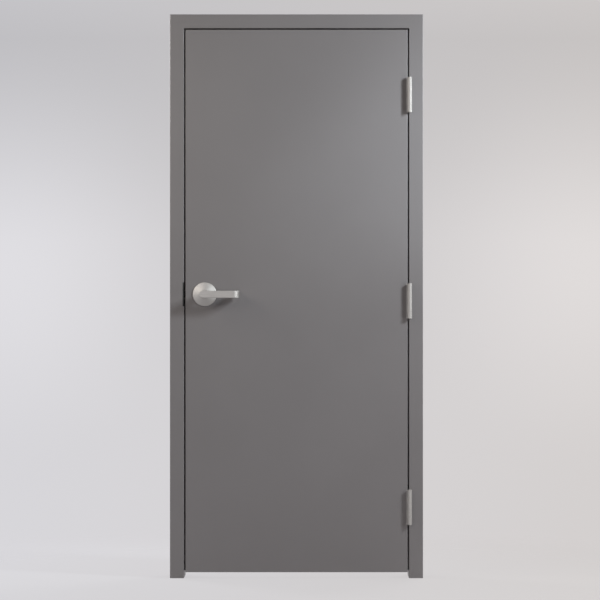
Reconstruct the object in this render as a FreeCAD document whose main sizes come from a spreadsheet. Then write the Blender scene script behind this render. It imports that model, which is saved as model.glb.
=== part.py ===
import FreeCAD, Part
import os
import re
import Sketcher

# A flush steel utility door: a hollow sheet-steel leaf on three butt hinges in a pressed-steel frame, with a
# lever on both faces. Millimetres, +Z up. The front faces -Y and the hinges are on the +X side. The origin is
# the middle of the underside of the foot in the hinge jamb.

SIZES = {
    # pressed-steel frame
    "opening_width": 816.5,
    "opening_height": 1995,
    "jamb_depth": 146,
    "face_width": 50.8,
    "return_depth": 12.7,
    "frame_sheet": 1.5,
    "stop_projection": 15.9,
    "stop_end_height": 24,
    "bend_radius": 2,
    # leaf
    "leaf_thickness": 44.4,
    "leaf_setback": 2,
    "leaf_gap": 5.1,
    "stop_gap": 5,
    "undercut": 21.5,
    "lock_bevel": 2.8,
    "leaf_sheet": 1.2,
    "seam_gap": 0.4,
    "channel_height": 38,
    "channel_sheet": 1.5,
    # butt hinges
    "hinge_height": 127,
    "hinge_plate": 3.7,
    "barrel_diameter": 15.6,
    "barrel_stand_off": 0.5,
    "pin_diameter": 8,
    "pin_clearance": 0.05,
    "pin_head_diameter": 11,
    "pin_head_height": 0.8,
    "knuckle_gap": 0.5,
    "hinge_backset": 6.4,
    "hinge_end_distance": 236,
    "hinge_lap": 6,
    # cut-outs for fittings and the plates behind them
    "mortise_clearance": 0.3,
    "reinforcement_plate": 4.8,
    "reinforcement_end": 36,
    "reinforcement_width": 32,
    # lever set
    "lever_height": 1030,
    "lever_backset": 70,
    "lock_bore": 54,
    "rose_diameter": 87,
    "rose_thickness": 14,
    "rose_rim": 3,
    "rose_flat_diameter": 34,
    "rose_edge_radius": 3,
    "neck_diameter": 25,
    "neck_clearance": 0.4,
    "neck_sink": 7,
    "hub_reach": 20.7,
    "hub_depth": 30,
    "lever_length": 126,
    "lever_bar_height": 25.4,
    "lever_bar_thickness": 13,
    "lever_reach": 62,
    "lever_return": 49,
    "lever_tip_thickness": 11,
    "lever_bend_radius": 22,
    "lever_inside_radius": 10,
    "lever_edge_radius": 2.5,
    "spindle_side": 8,
    # latch and strike
    "latch_throw": 12.7,
    "latch_depth": 14,
    "latch_bolt_height": 22,
    "latch_nose": 4,
    "latch_tail": 40,
    "latch_clearance": 0.3,
    "latch_front_height": 57.2,
    "latch_front_width": 25.4,
    "latch_front_sheet": 2.4,
    "strike_height": 86.5,
    "strike_width": 44,
    "strike_sheet": 2.4,
    "strike_lip": 4.6,
    "strike_lip_radius": 3,
    "strike_clearance": 2,
    "strike_box_depth": 18,
    "strike_box_wall": 1,
    # rubber buttons on the stop
    "silencer_diameter": 12,
    "silencer_tip_diameter": 9,
    "silencer_clearance": 0.4,
    # anchors
    "floor_anchor_length": 40,
    "floor_anchor_height": 60,
    "floor_anchor_sheet": 2,
    "floor_bolt_hole": 11,
    "floor_bolt_spacing": 70,
    "wall_anchor_height": 60,
    "wall_anchor_flange": 20,
    "wall_anchor_sheet": 1.5,
    "wall_anchor_inset": 18,
    "wall_screw_hole": 6.5,
    "wall_screw_spacing": 60,
    "first_fixing_height": 350,
    "fixing_spacing": 650,
}

PLACES = {
    "front_y": "-jamb_depth / 2",
    "back_y": "jamb_depth / 2",
    "throat_middle": "(face_width + frame_sheet) / 2",
    "hinge_rabbet_x": "-throat_middle",
    "strike_rabbet_x": "hinge_rabbet_x - opening_width",
    "strike_throat_x": "strike_rabbet_x - throat_middle",
    "rabbet_depth": "leaf_setback + leaf_thickness + stop_gap",
    "frame_height": "opening_height + face_width",
    "leaf_front_y": "front_y + leaf_setback",
    "leaf_back_y": "leaf_front_y + leaf_thickness",
    "leaf_middle_y": "leaf_front_y + leaf_thickness / 2",
    "leaf_hinge_x": "hinge_rabbet_x - leaf_gap",
    "leaf_strike_x": "strike_rabbet_x + leaf_gap",
    "leaf_top_z": "opening_height - leaf_gap",
    "edge_slope": "lock_bevel / leaf_thickness",
    "barrel_radius": "barrel_diameter / 2",
    "pin_radius": "pin_diameter / 2",
    "pivot_x": "leaf_hinge_x + barrel_radius",
    "pivot_y": "front_y - barrel_stand_off - barrel_radius",
    "hinge_plate_end_y": "leaf_back_y - hinge_backset",
    "bottom_hinge_z": "undercut + hinge_end_distance",
    "top_hinge_z": "leaf_top_z - hinge_end_distance",
    "middle_hinge_z": "(bottom_hinge_z + top_hinge_z) / 2",
    "lock_x": "leaf_strike_x + lever_backset",
    "latch_front_y": "leaf_middle_y - latch_depth / 2",
    "latch_back_y": "leaf_middle_y + latch_depth / 2",
    "neck_radius": "neck_diameter / 2",
    "neck_start": "rose_thickness - neck_sink",
}

HINGES = ("bottom", "middle", "top")

doc = FreeCAD.newDocument("UtilityDoor")
sheet = doc.addObject("Spreadsheet::Sheet", "Sizes")
places = doc.addObject("Spreadsheet::Sheet", "Places")


def bound(text):
    """The expression with each name traced to the sheet that holds it."""
    def traced(found):
        name = found.group()
        return ("Sizes." if name in SIZES else "Places.") + name
    return re.sub(r"[a-z][a-z_]+", traced, text)


def value(text):
    """The present value of an expression of named sizes and places."""
    return float(sheet.evalExpression(bound(text)))


def fill_sheets():
    for row, (name, size) in enumerate(SIZES.items(), start=1):
        sheet.set(f"A{row}", str(size))
        sheet.setAlias(f"A{row}", name)
    doc.recompute()
    for row, (name, text) in enumerate(PLACES.items(), start=1):
        places.set(f"A{row}", "=" + bound(text))
        places.setAlias(f"A{row}", name)
    doc.recompute()


def bind(item, settings):
    """Hold each property of the item to its expression."""
    for name, text in settings.items():
        item.setExpression(name, bound(text))
    return item


# sketches and bodies

def new_body(name):
    body = doc.addObject("PartDesign::Body", name)
    body.Label = name
    return body


def origin_item(body, role):
    return next(item for item in body.Origin.OriginFeatures if item.Role == role)


def plane_sketch(body, name, plane, offset="0"):
    """A sketch on one of the body's own planes, moved along the plane's normal."""
    sketch = body.newObject("Sketcher::SketchObject", name)
    sketch.AttachmentSupport = [(origin_item(body, plane), "")]
    sketch.MapMode = "FlatFace"
    bind(sketch, {"AttachmentOffset.Base.z": offset})
    return sketch


def hold(sketch, kind, line, text):
    """Hold the start of a line at a signed distance from the sketch's origin."""
    constraint = Sketcher.Constraint(kind, -1, 1, line, 1, value(text))
    index = sketch.addConstraint(constraint)
    bind(sketch, {f"Constraints[{index}]": text})


def outline(sketch, corners):
    """A closed run of straight lines, with every corner held by its two coordinates."""
    points = [FreeCAD.Vector(value(x), value(y), 0) for x, y in corners]
    first = sketch.GeometryCount
    count = len(points)
    for i in range(count):
        sketch.addGeometry(Part.LineSegment(points[i], points[(i + 1) % count]), False)
    for i in range(count):
        following = first + (i + 1) % count
        sketch.addConstraint(Sketcher.Constraint("Coincident", first + i, 2, following, 1))
    for i, (x, y) in enumerate(corners):
        hold(sketch, "DistanceX", first + i, x)
        hold(sketch, "DistanceY", first + i, y)


def rectangle(sketch, x0, x1, y0, y1):
    outline(sketch, [(x0, y0), (x1, y0), (x1, y1), (x0, y1)])


def circle(sketch, x, y, radius):
    centre = FreeCAD.Vector(value(x), value(y), 0)
    index = sketch.addGeometry(Part.Circle(centre, FreeCAD.Vector(0, 0, 1), value(radius)), False)
    for kind, text in (("DistanceX", x), ("DistanceY", y)):
        constraint = Sketcher.Constraint(kind, -1, 1, index, 3, value(text))
        bind(sketch, {f"Constraints[{sketch.addConstraint(constraint)}]": text})
    constraint = Sketcher.Constraint("Radius", index, value(radius))
    bind(sketch, {f"Constraints[{sketch.addConstraint(constraint)}]": radius})


def pad(body, sketch, length, both_ways=False):
    feature = body.newObject("PartDesign::Pad", sketch.Name + "_pad")
    feature.Profile = sketch
    if both_ways:
        feature.SideType = "Symmetric"
    bind(feature, {"Length": length})
    body.Tip = feature
    return feature


def pocket(body, sketch, length):
    """Cut half the length to each side of the sketch."""
    feature = body.newObject("PartDesign::Pocket", sketch.Name + "_pocket")
    feature.Profile = sketch
    feature.SideType = "Symmetric"
    bind(feature, {"Length": length})
    body.Tip = feature
    return feature


def round_edges(body, name, radius, wanted):
    """Round the edges of the body's present shape that the test picks out."""
    doc.recompute()
    base = body.Tip
    names = [f"Edge{i}" for i, edge in enumerate(base.Shape.Edges, start=1) if wanted(edge)]
    feature = body.newObject("PartDesign::Fillet", name)
    feature.Base = (base, names)
    bind(feature, {"Radius": radius})
    body.Tip = feature
    return feature


def runs_along(edge, axis):
    ends = [vertex.Point for vertex in edge.Vertexes]
    if len(ends) != 2:
        return False
    step = ends[1] - ends[0]
    return abs(abs(step.dot(axis)) - edge.Length) < 1e-6


def edge_at(axis, spots):
    """A test for straight edges along an axis that pass through one of the spots."""
    targets = [FreeCAD.Vector(*(value(text) for text in spot)) for spot in spots]

    def wanted(edge):
        if not runs_along(edge, axis):
            return False
        start = edge.Vertexes[0].Point
        for target in targets:
            offset = start - target
            if (offset - axis * offset.dot(axis)).Length < 1e-4:
                return True
        return False
    return wanted


# primitives and booleans

def box(name, x0, x1, y0, y1, z0, z1):
    item = doc.addObject("Part::Box", name)
    return bind(item, {
        "Placement.Base.x": x0, "Placement.Base.y": y0, "Placement.Base.z": z0,
        "Length": f"({x1}) - ({x0})", "Width": f"({y1}) - ({y0})", "Height": f"({z1}) - ({z0})",
    })


def rod(name, x, y, z, radius, length, turn=None):
    """A cylinder from its foot, along +Z unless turned."""
    item = doc.addObject("Part::Cylinder", name)
    if turn is not None:
        item.Placement = FreeCAD.Placement(FreeCAD.Vector(), turn)
    return bind(item, {
        "Placement.Base.x": x, "Placement.Base.y": y, "Placement.Base.z": z,
        "Radius": radius, "Height": length,
    })


def joined(name, items):
    item = doc.addObject("Part::MultiFuse", name)
    item.Shapes = items
    item.Refine = True
    return item


def gathered(name, items):
    item = doc.addObject("Part::Compound", name)
    item.Links = items
    return item


def cut(name, base, tool):
    item = doc.addObject("Part::Cut", name)
    item.Base = base
    item.Tool = tool
    return item


ALONG_X = FreeCAD.Vector(1, 0, 0)
ALONG_Y = FreeCAD.Vector(0, 1, 0)
ALONG_Z = FreeCAD.Vector(0, 0, 1)
UP_TO_FRONT = FreeCAD.Rotation(ALONG_X, 90)
UP_TO_BACK = FreeCAD.Rotation(ALONG_X, -90)
UP_TO_RIGHT = FreeCAD.Rotation(ALONG_Y, 90)


# pressed-steel frame: u runs from the rabbet into the wall, v runs from the front face to the back face

MEMBER_PROFILE = [
    ("face_width", "return_depth"),
    ("face_width", "0"),
    ("0", "0"),
    ("0", "jamb_depth"),
    ("face_width", "jamb_depth"),
    ("face_width", "jamb_depth - return_depth"),
    ("face_width - frame_sheet", "jamb_depth - return_depth"),
    ("face_width - frame_sheet", "jamb_depth - frame_sheet"),
    ("frame_sheet", "jamb_depth - frame_sheet"),
    ("frame_sheet", "frame_sheet"),
    ("face_width - frame_sheet", "frame_sheet"),
    ("face_width - frame_sheet", "return_depth"),
]

MEMBER_BENDS = [
    ("face_width", "0"),
    ("0", "0"),
    ("0", "jamb_depth"),
    ("face_width", "jamb_depth"),
]

STOP_PROFILE = [
    ("0", "rabbet_depth"),
    ("-stop_projection", "rabbet_depth"),
    ("-stop_projection", "jamb_depth - rabbet_depth"),
    ("0", "jamb_depth - rabbet_depth"),
    ("0", "jamb_depth - rabbet_depth - frame_sheet"),
    ("frame_sheet - stop_projection", "jamb_depth - rabbet_depth - frame_sheet"),
    ("frame_sheet - stop_projection", "rabbet_depth + frame_sheet"),
    ("0", "rabbet_depth + frame_sheet"),
]

STOP_BENDS = [
    ("-stop_projection", "rabbet_depth"),
    ("-stop_projection", "jamb_depth - rabbet_depth"),
]

SIDES = {
    "hinge": ("hinge_rabbet_x", "+"),
    "strike": ("strike_rabbet_x", "-"),
}


def jamb_x(side, u):
    rabbet, sign = SIDES[side]
    return f"{rabbet} {sign} ({u})"


def jamb_span(side, u0, u1):
    """The lower and upper x of a stretch of u."""
    if side == "hinge":
        return jamb_x(side, u0), jamb_x(side, u1)
    return jamb_x(side, u1), jamb_x(side, u0)


def depth_y(v):
    return f"front_y + ({v})"


def jamb(side, fitting_notches, notch_depth):
    """A jamb, mitred at the head and notched for the fittings let into its rabbet."""
    name = side + "_jamb"
    body = new_body(name)
    profile = plane_sketch(body, name + "_profile", "XY_Plane")
    outline(profile, [(jamb_x(side, u), depth_y(v)) for u, v in MEMBER_PROFILE])
    pad(body, profile, "frame_height")
    spots = [(jamb_x(side, u), depth_y(v), "0") for u, v in MEMBER_BENDS]
    round_edges(body, name + "_bends", "bend_radius", edge_at(ALONG_Z, spots))

    mitre = plane_sketch(body, name + "_mitre", "XZ_Plane")
    outline(mitre, [
        (jamb_x(side, "-face_width"), "opening_height - face_width"),
        (jamb_x(side, "2 * face_width"), "opening_height + 2 * face_width"),
        (jamb_x(side, "-face_width"), "opening_height + 2 * face_width"),
    ])
    pocket(body, mitre, "2 * jamb_depth")

    notches = plane_sketch(body, name + "_notches", "YZ_Plane", jamb_x(side, "0"))
    for end_y, middle_z, height in fitting_notches:
        half = f"{height} / 2 + mortise_clearance"
        rectangle(notches, "front_y - bend_radius", f"{end_y} + mortise_clearance",
                  f"{middle_z} - ({half})", f"{middle_z} + {half}")
    pocket(body, notches, f"2 * ({notch_depth} + mortise_clearance)")


def head():
    body = new_body("head")
    profile = plane_sketch(body, "head_profile", "YZ_Plane", "strike_rabbet_x - face_width")
    outline(profile, [(depth_y(v), f"opening_height + ({u})") for u, v in MEMBER_PROFILE])
    pad(body, profile, "opening_width + 2 * face_width")
    spots = [("0", depth_y(v), f"opening_height + ({u})") for u, v in MEMBER_BENDS]
    round_edges(body, "head_bends", "bend_radius", edge_at(ALONG_X, spots))
    mitre = plane_sketch(body, "head_mitre", "XZ_Plane")
    for side in SIDES:
        outline(mitre, [
            (jamb_x(side, "-face_width"), "opening_height - face_width"),
            (jamb_x(side, "2 * face_width"), "opening_height + 2 * face_width"),
            (jamb_x(side, "2 * face_width"), "opening_height - face_width"),
        ])
    pocket(body, mitre, "2 * jamb_depth")


def jamb_stop(side):
    """The stop strip on a jamb. It ends above the floor with a closed end and runs up to the head."""
    name = side + "_stop"
    body = new_body(name)
    profile = plane_sketch(body, name + "_profile", "XY_Plane", "stop_end_height")
    outline(profile, [(jamb_x(side, u), depth_y(v)) for u, v in STOP_PROFILE])
    pad(body, profile, "opening_height - stop_end_height")
    end = plane_sketch(body, name + "_end", "XY_Plane", "stop_end_height")
    span = jamb_span(side, "-stop_projection", "0")
    rectangle(end, *span, depth_y("rabbet_depth"), depth_y("jamb_depth - rabbet_depth"))
    pad(body, end, "frame_sheet")
    spots = [(jamb_x(side, u), depth_y(v), "0") for u, v in STOP_BENDS]
    round_edges(body, name + "_bends", "bend_radius", edge_at(ALONG_Z, spots))


def head_stop():
    """The stop strip on the head, between the two jamb stops."""
    body = new_body("head_stop")
    profile = plane_sketch(body, "head_stop_profile", "YZ_Plane", "strike_rabbet_x + stop_projection")
    outline(profile, [(depth_y(v), f"opening_height + ({u})") for u, v in STOP_PROFILE])
    pad(body, profile, "opening_width - 2 * stop_projection")
    spots = [("0", depth_y(v), f"opening_height + ({u})") for u, v in STOP_BENDS]
    round_edges(body, "head_stop_bends", "bend_radius", edge_at(ALONG_X, spots))


def floor_anchor(side, middle_x):
    """A bolted foot, folded up against the inside of both faces of the jamb."""
    name = side + "_floor_anchor"
    body = new_body(name)
    profile = plane_sketch(body, name + "_profile", "YZ_Plane", middle_x)
    outer_front = "front_y + frame_sheet"
    outer_back = "back_y - frame_sheet"
    outline(profile, [
        (outer_front, "0"),
        (outer_back, "0"),
        (outer_back, "floor_anchor_height"),
        (outer_back + " - floor_anchor_sheet", "floor_anchor_height"),
        (outer_back + " - floor_anchor_sheet", "floor_anchor_sheet"),
        (outer_front + " + floor_anchor_sheet", "floor_anchor_sheet"),
        (outer_front + " + floor_anchor_sheet", "floor_anchor_height"),
        (outer_front, "floor_anchor_height"),
    ])
    pad(body, profile, "floor_anchor_length", both_ways=True)
    holes = plane_sketch(body, name + "_holes", "XY_Plane")
    for sign in ("-", ""):
        circle(holes, middle_x, sign + "floor_bolt_spacing / 2", "floor_bolt_hole / 2")
    pocket(body, holes, "4 * floor_anchor_sheet")


def wall_anchors(side):
    """Three screwed clips that fill the throat of a jamb."""
    name = side + "_wall_anchors"
    web = "face_width - wall_anchor_inset"
    clips = []
    for i in range(3):
        middle_z = f"first_fixing_height + {i} * fixing_spacing"
        z0 = middle_z + " - wall_anchor_height / 2"
        z1 = middle_z + " + wall_anchor_height / 2"
        block_span = jamb_span(side, web + " - wall_anchor_flange", web)
        block = box(f"{name}_block_{i}", *block_span,
                    "front_y + frame_sheet", "back_y - frame_sheet", z0, z1)
        hollow_span = jamb_span(side, web + " - 2 * wall_anchor_flange", web + " - wall_anchor_sheet")
        hollow = box(f"{name}_hollow_{i}", *hollow_span,
                     "front_y + frame_sheet + wall_anchor_sheet", "back_y - frame_sheet - wall_anchor_sheet",
                     middle_z + " - wall_anchor_height", middle_z + " + wall_anchor_height")
        tools = [hollow]
        for sign in ("-", ""):
            hole_x = jamb_span(side, web + " - 2 * wall_anchor_sheet", web)[0]
            tools.append(rod(f"{name}_hole_{i}_{len(tools)}", hole_x, sign + "wall_screw_spacing / 2", middle_z,
                             "wall_screw_hole / 2", "3 * wall_anchor_sheet", UP_TO_RIGHT))
        clips.append(cut(f"{name}_clip_{i}", block, joined(f"{name}_tools_{i}", tools)))
    return gathered(name, clips)


def backing_plate(name, side, middle_z, height, seat_depth, window=None):
    """A plate behind the rabbet, with a shallow seat for the fitting let into the jamb."""
    body = new_body(name)
    half = f"{height} / 2 + mortise_clearance"
    long_half = half + " + reinforcement_end"
    back = seat_depth + " + reinforcement_plate"
    profile = plane_sketch(body, name + "_profile", "XZ_Plane", "-leaf_middle_y")
    outline(profile, [
        (jamb_x(side, "frame_sheet"), f"{middle_z} - ({long_half})"),
        (jamb_x(side, "frame_sheet"), f"{middle_z} - ({half})"),
        (jamb_x(side, seat_depth), f"{middle_z} - ({half})"),
        (jamb_x(side, seat_depth), f"{middle_z} + {half}"),
        (jamb_x(side, "frame_sheet"), f"{middle_z} + {half}"),
        (jamb_x(side, "frame_sheet"), f"{middle_z} + {long_half}"),
        (jamb_x(side, back), f"{middle_z} + {long_half}"),
        (jamb_x(side, back), f"{middle_z} - ({long_half})"),
    ])
    pad(body, profile, "reinforcement_width", both_ways=True)
    if window is not None:
        opening = plane_sketch(body, name + "_window", "YZ_Plane", jamb_x(side, seat_depth))
        rectangle(opening, *window)
        pocket(body, opening, "4 * reinforcement_plate")


# leaf

def lock_edge_x(y):
    """The bevelled lock edge leans away from the jamb towards the back."""
    return f"leaf_strike_x + edge_slope * ({y} - (leaf_front_y))"


def leaf_skin(name, face_y, inward):
    """One shallow pan of the leaf: a face with a flange along each edge up to the seam."""
    body = new_body(name)
    seam_y = f"leaf_middle_y {'-' if inward == '+' else '+'} seam_gap / 2"
    inside_y = f"{face_y} {inward} leaf_sheet"
    profile = plane_sketch(body, name + "_profile", "XY_Plane", "undercut")
    outline(profile, [
        (lock_edge_x(seam_y), seam_y),
        (lock_edge_x(face_y), face_y),
        ("leaf_hinge_x", face_y),
        ("leaf_hinge_x", seam_y),
        ("leaf_hinge_x - leaf_sheet", seam_y),
        ("leaf_hinge_x - leaf_sheet", inside_y),
        (lock_edge_x(inside_y) + " + leaf_sheet", inside_y),
        (lock_edge_x(seam_y) + " + leaf_sheet", seam_y),
    ])
    pad(body, profile, "leaf_top_z - undercut")
    spots = [(x, face_y, "0") for x in (lock_edge_x(face_y), "leaf_hinge_x")]
    round_edges(body, name + "_edges", "bend_radius", edge_at(ALONG_Z, spots))

    face_offset = f"-({face_y})"
    bore = plane_sketch(body, name + "_bore", "XZ_Plane", face_offset)
    circle(bore, "lock_x", "lever_height", "lock_bore / 2")
    pocket(body, bore, "4 * leaf_sheet")

    latch_notch = plane_sketch(body, name + "_latch_notch", "YZ_Plane", "leaf_strike_x")
    half = "latch_front_height / 2 + mortise_clearance"
    rectangle(latch_notch, "leaf_middle_y - latch_front_width / 2 - mortise_clearance",
              "leaf_middle_y + latch_front_width / 2 + mortise_clearance",
              f"lever_height - ({half})", f"lever_height + {half}")
    pocket(body, latch_notch, "2 * (lock_bevel + 2 * leaf_sheet)")

    hinge_notches = plane_sketch(body, name + "_hinge_notches", "YZ_Plane", "leaf_hinge_x")
    half = "hinge_height / 2 + mortise_clearance"
    for hinge in HINGES:
        rectangle(hinge_notches, "leaf_front_y - bend_radius", "hinge_plate_end_y + mortise_clearance",
                  f"{hinge}_hinge_z - ({half})", f"{hinge}_hinge_z + {half}")
    pocket(body, hinge_notches, "2 * (hinge_plate + mortise_clearance)")


def end_channel(name, end_z, inward):
    """The recessed channel that closes an end of the leaf, open towards that end."""
    body = new_body(name)
    profile = plane_sketch(body, name + "_profile", "YZ_Plane", "leaf_strike_x")
    front = "leaf_front_y + leaf_sheet"
    back = "leaf_back_y - leaf_sheet"
    web_z = f"{end_z} {inward} channel_height"
    floor_z = f"{end_z} {inward} (channel_height - channel_sheet)"
    outline(profile, [
        (front, end_z),
        (front, web_z),
        (back, web_z),
        (back, end_z),
        (back + " - channel_sheet", end_z),
        (back + " - channel_sheet", floor_z),
        (front + " + channel_sheet", floor_z),
        (front + " + channel_sheet", end_z),
    ])
    pad(body, profile, "leaf_hinge_x - leaf_sheet - (leaf_strike_x)")
    bevel = plane_sketch(body, name + "_bevel", "XY_Plane", end_z)
    outline(bevel, [
        ("leaf_strike_x - lever_backset", "leaf_front_y"),
        (lock_edge_x("leaf_front_y") + " + leaf_sheet", "leaf_front_y"),
        (lock_edge_x("leaf_back_y") + " + leaf_sheet", "leaf_back_y"),
        ("leaf_strike_x - lever_backset", "leaf_back_y"),
    ])
    pocket(body, bevel, "4 * channel_height")


# butt hinges

def knuckle_start(hinge, i):
    return f"{hinge}_hinge_z - hinge_height / 2 + {i} * hinge_height / 5 + knuckle_gap / 2"


def hinge_leaf(hinge, name, plate_span, plate_front_y, web_span, web_back_y, knuckles):
    """A mortised plate with its knuckles, bored for the pin."""
    low_z = f"{hinge}_hinge_z - hinge_height / 2"
    high_z = f"{hinge}_hinge_z + hinge_height / 2"
    pieces = [box(name + "_plate", *plate_span, plate_front_y, "hinge_plate_end_y", low_z, high_z)]
    knuckle_length = "hinge_height / 5 - knuckle_gap"
    for i in knuckles:
        start_z = knuckle_start(hinge, i)
        pieces.append(box(f"{name}_web_{i}", *web_span, "pivot_y", web_back_y,
                          start_z, f"{start_z} + {knuckle_length}"))
        pieces.append(rod(f"{name}_knuckle_{i}", "pivot_x", "pivot_y", start_z,
                          "barrel_radius", knuckle_length))
    bore = rod(name + "_bore", "pivot_x", "pivot_y", low_z + " - hinge_height",
               "pin_radius + pin_clearance", "3 * hinge_height")
    return cut(name, joined(name + "_solid", pieces), bore)


def hinge_pin(hinge):
    name = hinge + "_hinge_pin"
    low_z = f"{hinge}_hinge_z - hinge_height / 2 + knuckle_gap / 2"
    high_z = f"{hinge}_hinge_z + hinge_height / 2 - knuckle_gap / 2"
    shank = rod(name + "_shank", "pivot_x", "pivot_y", low_z, "pin_radius", "hinge_height - knuckle_gap")
    foot = rod(name + "_foot", "pivot_x", "pivot_y", low_z + " - pin_head_height",
               "pin_head_diameter / 2", "pin_head_height")
    top = rod(name + "_top", "pivot_x", "pivot_y", high_z, "pin_head_diameter / 2", "pin_head_height")
    return joined(name, [shank, foot, top])


def butt_hinge(hinge):
    frame_span = jamb_span("hinge", "0", "hinge_plate")
    hinge_leaf(hinge, hinge + "_hinge_frame_leaf", frame_span, "front_y", frame_span, "front_y", (0, 2, 4))
    hinge_leaf(hinge, hinge + "_hinge_door_leaf", ("leaf_hinge_x - hinge_plate", "leaf_hinge_x"),
               "leaf_front_y", ("leaf_hinge_x", "leaf_hinge_x + hinge_plate"), "leaf_front_y + hinge_lap", (1, 3))
    hinge_pin(hinge)
    backing_plate(hinge + "_hinge_reinforcement", "hinge", hinge + "_hinge_z", "hinge_height", "hinge_plate")


# lever set: local Z runs out of the door from the face of the skin, local X runs along the bar

def stand_on_face(body, face_y, turn):
    body.Placement = FreeCAD.Placement(FreeCAD.Vector(), turn)
    bind(body, {"Placement.Base.x": "lock_x", "Placement.Base.y": face_y, "Placement.Base.z": "lever_height"})


def rose(name, face_y, turn):
    body = new_body(name)
    profile = plane_sketch(body, name + "_profile", "XZ_Plane")
    bore = "neck_radius + neck_clearance"
    outline(profile, [
        (bore, "0"),
        ("rose_diameter / 2", "0"),
        ("rose_diameter / 2", "rose_rim"),
        ("rose_flat_diameter / 2", "rose_thickness"),
        (bore, "rose_thickness"),
    ])
    turned = body.newObject("PartDesign::Revolution", name + "_turned")
    turned.Profile = profile
    turned.ReferenceAxis = (origin_item(body, "Z_Axis"), [""])
    turned.Angle = 360
    body.Tip = turned
    shoulders = [(value("rose_diameter / 2"), value("rose_rim")),
                 (value("rose_flat_diameter / 2"), value("rose_thickness"))]

    def is_shoulder(edge):
        ring = edge.Curve
        if not isinstance(ring, Part.Circle):
            return False
        return any(abs(ring.Radius - r) < 1e-4 and abs(ring.Center.z - z) < 1e-4 for r, z in shoulders)
    round_edges(body, name + "_shoulders", "rose_edge_radius", is_shoulder)
    stand_on_face(body, face_y, turn)


def lever(name, face_y, turn):
    """A straight bar on a neck, with a rounded hub end and a tip that turns back towards the door."""
    body = new_body(name)
    plan = plane_sketch(body, name + "_plan", "XZ_Plane")
    inside = "lever_reach - lever_bar_thickness"
    hub_foot = "lever_reach - hub_depth"
    outline(plan, [
        ("-neck_radius", hub_foot),
        ("-hub_reach", inside),
        ("-hub_reach", "lever_reach"),
        ("lever_length", "lever_reach"),
        ("lever_length", "lever_reach - lever_return"),
        ("lever_length - lever_tip_thickness", "lever_reach - lever_return"),
        ("lever_length - lever_tip_thickness", inside),
        ("hub_reach", inside),
        ("neck_radius", hub_foot),
    ])
    pad(body, plan, "lever_bar_height", both_ways=True)

    neck = plane_sketch(body, name + "_neck", "XY_Plane", "neck_start")
    circle(neck, "0", "0", "neck_radius")
    pad(body, neck, hub_foot + " - neck_start + lever_bar_thickness / 2")

    hub_corners = [("-hub_reach", sign + "lever_bar_height / 2", "0") for sign in ("-", "")]
    round_edges(body, name + "_hub_end", "0.48 * lever_bar_height", edge_at(ALONG_Z, hub_corners))
    bend = [("lever_length", "0", "lever_reach")]
    round_edges(body, name + "_tip_bend", "lever_bend_radius", edge_at(ALONG_Y, bend))
    inside_bend = [("lever_length - lever_tip_thickness", "0", inside)]
    round_edges(body, name + "_tip_inside", "lever_inside_radius", edge_at(ALONG_Y, inside_bend))
    outer_z = value("lever_reach")

    def on_front(edge):
        return all(abs(vertex.Point.z - outer_z) < 1e-4 for vertex in edge.Vertexes)
    round_edges(body, name + "_front_edges", "lever_edge_radius", on_front)
    stand_on_face(body, face_y, turn)


def spindle():
    half = "spindle_side / 2"
    return box("spindle", f"lock_x - {half}", f"lock_x + {half}",
               "leaf_front_y - neck_start", "leaf_back_y + neck_start",
               f"lever_height - {half}", f"lever_height + {half}")


# latch and strike

def latch_front():
    """The plate let into the bevelled lock edge around the latch."""
    body = new_body("latch_front")
    plan = plane_sketch(body, "latch_front_plan", "XY_Plane", "lever_height")
    low_y = "leaf_middle_y - latch_front_width / 2"
    high_y = "leaf_middle_y + latch_front_width / 2"
    outline(plan, [
        (lock_edge_x(low_y), low_y),
        (lock_edge_x(high_y), high_y),
        (lock_edge_x(high_y) + " + latch_front_sheet", high_y),
        (lock_edge_x(low_y) + " + latch_front_sheet", low_y),
    ])
    pad(body, plan, "latch_front_height", both_ways=True)
    slot = plane_sketch(body, "latch_front_slot", "YZ_Plane", "leaf_strike_x")
    half = "latch_bolt_height / 2 + latch_clearance"
    rectangle(slot, "latch_front_y - latch_clearance", "latch_back_y + latch_clearance",
              f"lever_height - ({half})", f"lever_height + {half}")
    pocket(body, slot, "2 * (lock_bevel + 2 * latch_front_sheet)")


def latch_bolt():
    """A spring bolt, flat towards the front and bevelled towards the stop."""
    body = new_body("latch_bolt")
    plan = plane_sketch(body, "latch_bolt_plan", "XY_Plane", "lever_height")
    outline(plan, [
        ("leaf_strike_x - latch_throw", "latch_front_y"),
        ("leaf_strike_x + latch_tail", "latch_front_y"),
        ("leaf_strike_x + latch_tail", "latch_back_y"),
        ("leaf_strike_x", "latch_back_y"),
        ("leaf_strike_x - latch_throw", "latch_front_y + latch_nose"),
    ])
    pad(body, plan, "latch_bolt_height", both_ways=True)


STRIKE_WINDOW = (
    "latch_front_y - strike_clearance",
    "latch_back_y + strike_clearance",
    "lever_height - latch_bolt_height / 2 - strike_clearance",
    "lever_height + latch_bolt_height / 2 + strike_clearance",
)


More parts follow.
